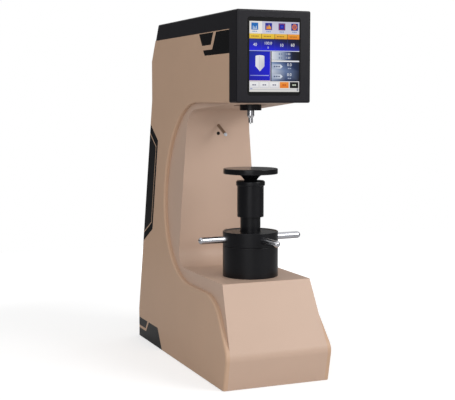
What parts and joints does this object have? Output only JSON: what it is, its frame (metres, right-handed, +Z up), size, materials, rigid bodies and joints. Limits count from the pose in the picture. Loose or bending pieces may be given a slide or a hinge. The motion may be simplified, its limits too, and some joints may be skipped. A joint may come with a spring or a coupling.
{
  "type": "hardness tester",
  "caption": "Bench hardness tester: C-shaped body, touch display in the head, indenter above a round anvil on an elevating screw turned by a capstan hub.",
  "frame": {"origin": "bottom centre of the bounding box, on the bench under the body", "axes": "+X to the right of someone facing the display, +Y from the display to the back, +Z up"},
  "size_m": [0.2304, 0.54, 0.72],
  "materials": {
    "casting_beige": "satin",
    "cover_beige": "satin",
    "panel_beige": "satin",
    "trim_black": "gloss",
    "door_black": "satin",
    "head_black": "satin",
    "display_glass": "gloss",
    "display_panel": "gloss",
    "circuit_board": "matte",
    "socket_black": "matte",
    "plain_steel": "satin",
    "drum_black": "satin",
    "bar_chrome": "polished",
    "nut_bronze": "satin",
    "sleeve_steel": "satin",
    "anvil_steel": "satin",
    "diamond": "gloss",
    "weight_iron": "satin",
    "case_aluminium": "satin",
    "light_metal": "polished",
    "light_lens": "gloss",
    "foot_rubber": "matte"
  },
  "bodies": {
    "frame": {"frame_casting": "casting_beige", "side_cover_left": "cover_beige", "side_cover_right": "cover_beige", "back_panel": "panel_beige", "rear_trim": "trim_black", "rear_door": "door_black", "roof_cover": "head_black", "head_front_cover": "head_black", "touch_glass": "display_glass", "lcd_panel": "display_panel", "control_board": "circuit_board", "head_inlays": "trim_black", "base_inlays": "trim_black", "power_inlet": "socket_black", "data_port": "socket_black", "switch_body": "socket_black", "cover_screws": "plain_steel", "drum_housing": "drum_black", "bearing_race_lower": "plain_steel", "bearing_balls": "plain_steel", "screw_guide_bush": "nut_bronze", "spindle_bushes": "nut_bronze", "depth_gauge": "case_aluminium", "lever_pivot_pin": "plain_steel", "load_motor": "case_aluminium", "work_light_tube": "light_metal", "work_light_lens": "light_lens", "wall_grommet": "foot_rubber", "base_plate": "plain_steel", "foot_lock_nuts": "plain_steel", "power_supply": "case_aluminium"},
    "hub": {"elevating_nut": "nut_bronze", "capstan_hub": "drum_black", "capstan_bars": "bar_chrome", "bearing_race_upper": "plain_steel"},
    "screw": {"elevating_screw": "plain_steel", "screw_sleeve_outer": "sleeve_steel", "anvil": "anvil_steel"},
    "inner_sleeve": {"screw_sleeve_inner": "sleeve_steel"},
    "spindle": {"spindle": "drum_black", "indenter_body": "plain_steel", "indenter_tip": "diamond", "indenter_clamp_screw": "plain_steel", "spindle_spring": "plain_steel"},
    "lever": {"load_lever": "plain_steel", "knife_edge": "plain_steel"},
    "weights": {"weight_carrier": "plain_steel", "weight_1": "weight_iron", "weight_2": "weight_iron", "weight_3": "weight_iron"},
    "cam": {"load_cam": "plain_steel"},
    "rocker": {"switch_rocker": "socket_black"},
    "foot_1": {"foot_pad_1": "foot_rubber", "foot_stud_1": "plain_steel"},
    "foot_2": {"foot_pad_2": "foot_rubber", "foot_stud_2": "plain_steel"},
    "foot_3": {"foot_pad_3": "foot_rubber", "foot_stud_3": "plain_steel"},
    "foot_4": {"foot_pad_4": "foot_rubber", "foot_stud_4": "plain_steel"}
  },
  "joints": [
    {"name": "hub_turn", "type": "hinge", "parent": "frame", "child": "hub", "pos_m": [0, -0.12751, 0.27315], "axis": [0, 0, 1], "range_deg": [-5100, 1680]},
    {"name": "screw_lift", "type": "slide", "parent": "frame", "child": "screw", "axis": [0, 0, 1], "range_m": [-0.028, 0.085]},
    {"name": "inner_sleeve_lift", "type": "slide", "parent": "frame", "child": "inner_sleeve", "axis": [0, 0, 1], "range_m": [-0.014, 0.0425]},
    {"name": "weights_lift", "type": "slide", "parent": "frame", "child": "weights", "axis": [0, 0, 1], "range_m": [0, 0.0125]},
    {"name": "spindle_lift", "type": "slide", "parent": "frame", "child": "spindle", "axis": [0, 0, 1], "range_m": [0, 0.001], "deforming": ["spindle_spring"]},
    {"name": "lever_tilt", "type": "hinge", "parent": "frame", "child": "lever", "pos_m": [0, -0.15251, 0.649], "axis": [1, 0, 0], "range_deg": [0, 2.29]},
    {"name": "cam_turn", "type": "hinge", "parent": "frame", "child": "cam", "pos_m": [0, 0.09669, 0.6057], "axis": [1, 0, 0], "range_deg": [0, 180]},
    {"name": "rocker_tip", "type": "hinge", "parent": "frame", "child": "rocker", "pos_m": [-0.045, 0.26269, 0.122], "axis": [-1, 0, 0], "range_deg": [0, 24]},
    {"name": "foot_1_level", "type": "slide", "parent": "frame", "child": "foot_1", "axis": [0, 0, -1], "range_m": [0, 0.006]},
    {"name": "foot_2_level", "type": "slide", "parent": "frame", "child": "foot_2", "axis": [0, 0, -1], "range_m": [0, 0.006]},
    {"name": "foot_3_level", "type": "slide", "parent": "frame", "child": "foot_3", "axis": [0, 0, -1], "range_m": [0, 0.006]},
    {"name": "foot_4_level", "type": "slide", "parent": "frame", "child": "foot_4", "axis": [0, 0, -1], "range_m": [0, 0.006]}
  ],
  "couplings": [
    {"joint": "screw_lift", "follows": "hub_turn", "m_per_rad": -0.00095493},
    {"joint": "inner_sleeve_lift", "follows": "hub_turn", "m_per_rad": -0.00047746},
    {"joint": "spindle_lift", "follows": "weights_lift", "ratio": 0.079872},
    {"joint": "lever_tilt", "follows": "weights_lift", "rad_per_m": 3.1949}
  ]
}
